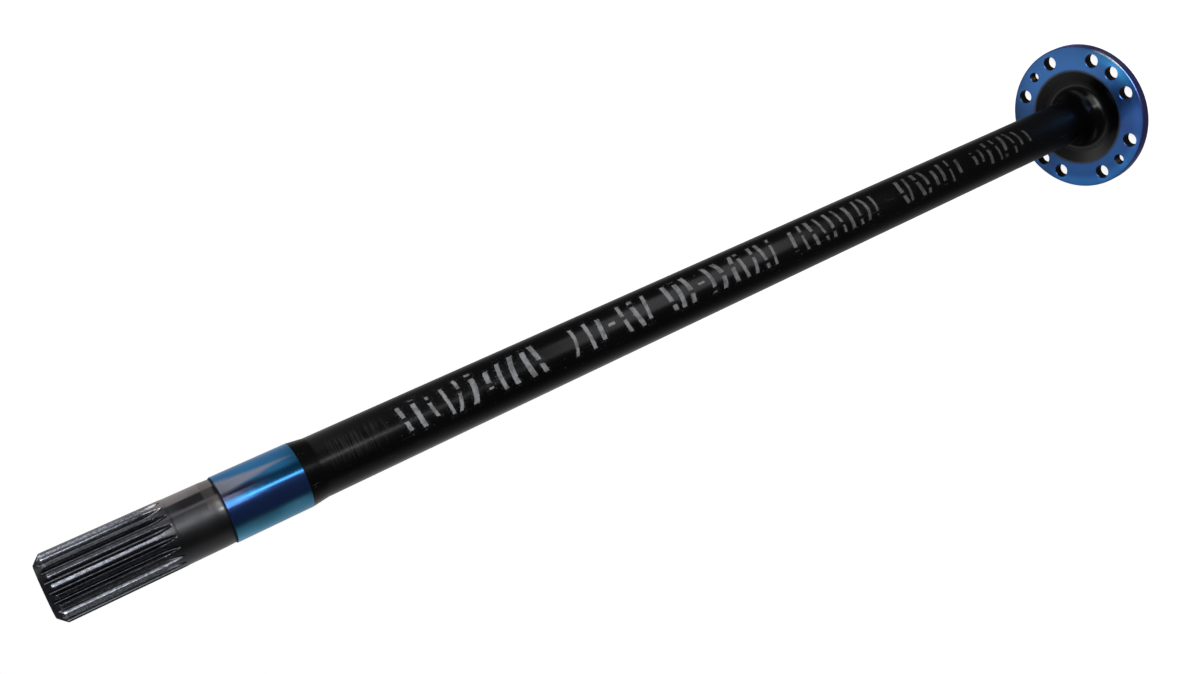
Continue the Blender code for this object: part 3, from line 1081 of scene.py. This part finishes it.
# Steepness of a ray in the room, from straight down at -1 to straight up at 1: where a part of
# the light starts and is full, and for four values also where it is last full and ends
TABLE_EDGE = (-0.22, -0.19, -0.125, -0.10)
BY_SPLINE = (-0.07, -0.03, 0.05, 0.15)
LEVEL = (-0.235, -0.18, 0.0, 0.2)
BANK = (0.56, 0.66, 0.76, 0.84)
STEEP_FADE = (-0.75, -0.25)
UPWARD_END = (0.15, 0.03)
BELOW_LEVEL = (-0.18, -0.235)
CEILING = (0.25, 0.6)
CEILING_BEHIND = (0.1, -0.3)

# Azimuths of a ray, in degrees from the camera's side, in the same order, and the overhead cone
LOW_SIDE = (-66, -150)
LOW_EDGE = (-60, -86)
HIGH_SIDE = (105, 160)
HIGH_EDGE = (36, 56)
BANK_SIDE = (122, 144, 156, 164)
OVERHEAD_CONE = (math.cos(math.radians(19)), math.cos(math.radians(10)))

# How bright each part of the room is
ROOM_LIGHT = 0.04
STEEPEST_SHARE = 0.4
LOW_LIGHT = 0.6
TABLE_EDGE_LIGHT = 0.5
BY_SPLINE_LIGHT = 0.2
HIGH_LIGHT = 0.35
HIGH_EDGE_LIGHT = 0.6
BANK_LIGHT = 0.85
CEILING_LIGHT = 0.07
OVERHEAD_LIGHT = 1.4


def make_floor():
    bpy.ops.object.select_all(action="DESELECT")
    bpy.ops.mesh.primitive_plane_add(size=FLOOR_SIZE, location=(0, 0, -FLOOR_GAP))
    floor = bpy.context.object
    floor.name = "floor"
    floor.visible_glossy = False
    material, finish = new_finish("floor_paper")
    paper = finish.node("ShaderNodeBsdfDiffuse", None, {"Color": grey(0.8)})
    glow = finish.node("ShaderNodeEmission", None, {"Color": grey(1), "Strength": 0.9})
    ray = finish.node("ShaderNodeLightPath")
    dark = finish.node("ShaderNodeEmission", None, {"Strength": 0.0})
    shown = finish.node(
        "ShaderNodeMixShader",
        None,
        {0: ray.outputs["Is Camera Ray"], 1: dark.outputs[0], 2: glow.outputs[0]},
    )
    both = finish.node("ShaderNodeAddShader", None, {0: paper.outputs[0], 1: shown.outputs[0]})
    finish.node("ShaderNodeOutputMaterial", None, {"Surface": both.outputs[0]})
    floor.data.materials.append(material)


def make_surround():
    """White for the camera; for all other rays, light from the two sides, behind and overhead."""
    world = bpy.data.worlds.new("surround")
    bpy.context.scene.world = world
    world.use_nodes = True
    finish = Finish(world.node_tree)
    direction = finish.node("ShaderNodeTexCoord").outputs["Generated"]
    parts = finish.node("ShaderNodeSeparateXYZ", None, {0: direction}).outputs
    x, y, z = (Amount(finish, part) for part in parts)
    ahead = x * math.cos(CAMERA_AZIMUTH) + y * math.sin(CAMERA_AZIMUTH)
    aside = y * math.cos(CAMERA_AZIMUTH) - x * math.sin(CAMERA_AZIMUTH)
    angle = finish.math("ARCTAN2", aside, ahead) * (180 / math.pi)
    table_edge = finish.between(z, *TABLE_EDGE)
    steep = STEEPEST_SHARE + finish.rise(z, *STEEP_FADE) * (1 - STEEPEST_SHARE)
    steep = steep * finish.rise(z, *UPWARD_END)
    low_side = finish.rise(angle, *LOW_SIDE) * LOW_LIGHT * steep * (1 - table_edge)
    low_edge = table_edge * TABLE_EDGE_LIGHT + finish.between(z, *BY_SPLINE) * BY_SPLINE_LIGHT
    low_side = low_side + finish.rise(angle, *LOW_EDGE) * low_edge
    high_side = finish.rise(angle, *HIGH_SIDE) * finish.rise(z, *BELOW_LEVEL) * HIGH_LIGHT
    high_edge = finish.rise(angle, *HIGH_EDGE) * finish.between(z, *LEVEL) * HIGH_EDGE_LIGHT
    bank = finish.between(angle, *BANK_SIDE) * finish.between(z, *BANK) * BANK_LIGHT
    mirrored = Vector((-CAMERA_PLACE.x, -CAMERA_PLACE.y, CAMERA_PLACE.z)).normalized()
    toward = x * mirrored.x + y * mirrored.y + z * mirrored.z
    overhead = finish.rise(toward, *OVERHEAD_CONE) * OVERHEAD_LIGHT
    ceiling = finish.rise(z, *CEILING) * finish.rise(ahead, *CEILING_BEHIND) * CEILING_LIGHT
    light = ROOM_LIGHT + low_side + high_side + high_edge + bank + ceiling + overhead
    seen = finish.node("ShaderNodeLightPath").outputs["Is Camera Ray"]
    room = finish.node("ShaderNodeBackground", None, {"Color": grey(1), "Strength": light})
    white = finish.node("ShaderNodeBackground", None, {"Color": grey(1), "Strength": 1.0})
    shown = finish.node(
        "ShaderNodeMixShader", None, {0: seen, 1: room.outputs[0], 2: white.outputs[0]}
    )
    finish.node("ShaderNodeOutputWorld", None, {"Surface": shown.outputs[0]})


def make_lamp(name, azimuth, distance, height, aim_height, width, tall, radiance):
    """A soft rectangular lamp, upright, facing the shaft; azimuth is from the camera's."""
    data = bpy.data.lights.new(name, "AREA")
    data.shape = "RECTANGLE"
    data.size = width
    data.size_y = tall
    data.energy = radiance * math.pi * width * tall
    lamp = bpy.data.objects.new(name, data)
    bpy.context.scene.collection.objects.link(lamp)
    angle = CAMERA_AZIMUTH + math.radians(azimuth)
    place = Vector((distance * math.cos(angle), distance * math.sin(angle), height))
    back = (place - Vector((0, 0, aim_height))).normalized()
    right = Vector((0, 0, 1)).cross(back).normalized()
    up = back.cross(right)
    lamp.matrix_world = Matrix.Translation(place) @ Matrix((right, up, back)).transposed().to_4x4()
    lamp.visible_camera = False


def make_camera():
    data = bpy.data.cameras.new("camera")
    data.sensor_width = SENSOR
    data.lens = FOCAL_PIXELS * SENSOR / PHOTO_WIDTH
    data.clip_start = CLIP_START
    camera = bpy.data.objects.new("camera", data)
    bpy.context.scene.collection.objects.link(camera)
    turn = Matrix((CAMERA_RIGHT, CAMERA_UP, CAMERA_BACK)).transposed().to_4x4()
    camera.matrix_world = Matrix.Translation(CAMERA_PLACE) @ turn
    bpy.context.scene.camera = camera


make_floor()
make_surround()
make_lamp(
    "key_strip",
    azimuth=9.5,
    distance=1.2,
    height=0.5,
    aim_height=0.5,
    width=0.12,
    tall=0.6,
    radiance=5,
)
make_lamp(
    "front_panel",
    azimuth=28,
    distance=0.34,
    height=0.22,
    aim_height=0.22,
    width=0.31,
    tall=0.31,
    radiance=1.5,
)
make_lamp(
    "window",
    azimuth=16,
    distance=1.3,
    height=0.99,
    aim_height=0.3,
    width=0.9,
    tall=0.5,
    radiance=5,
)
make_camera()
bpy.context.scene.view_settings.view_transform = "Standard"
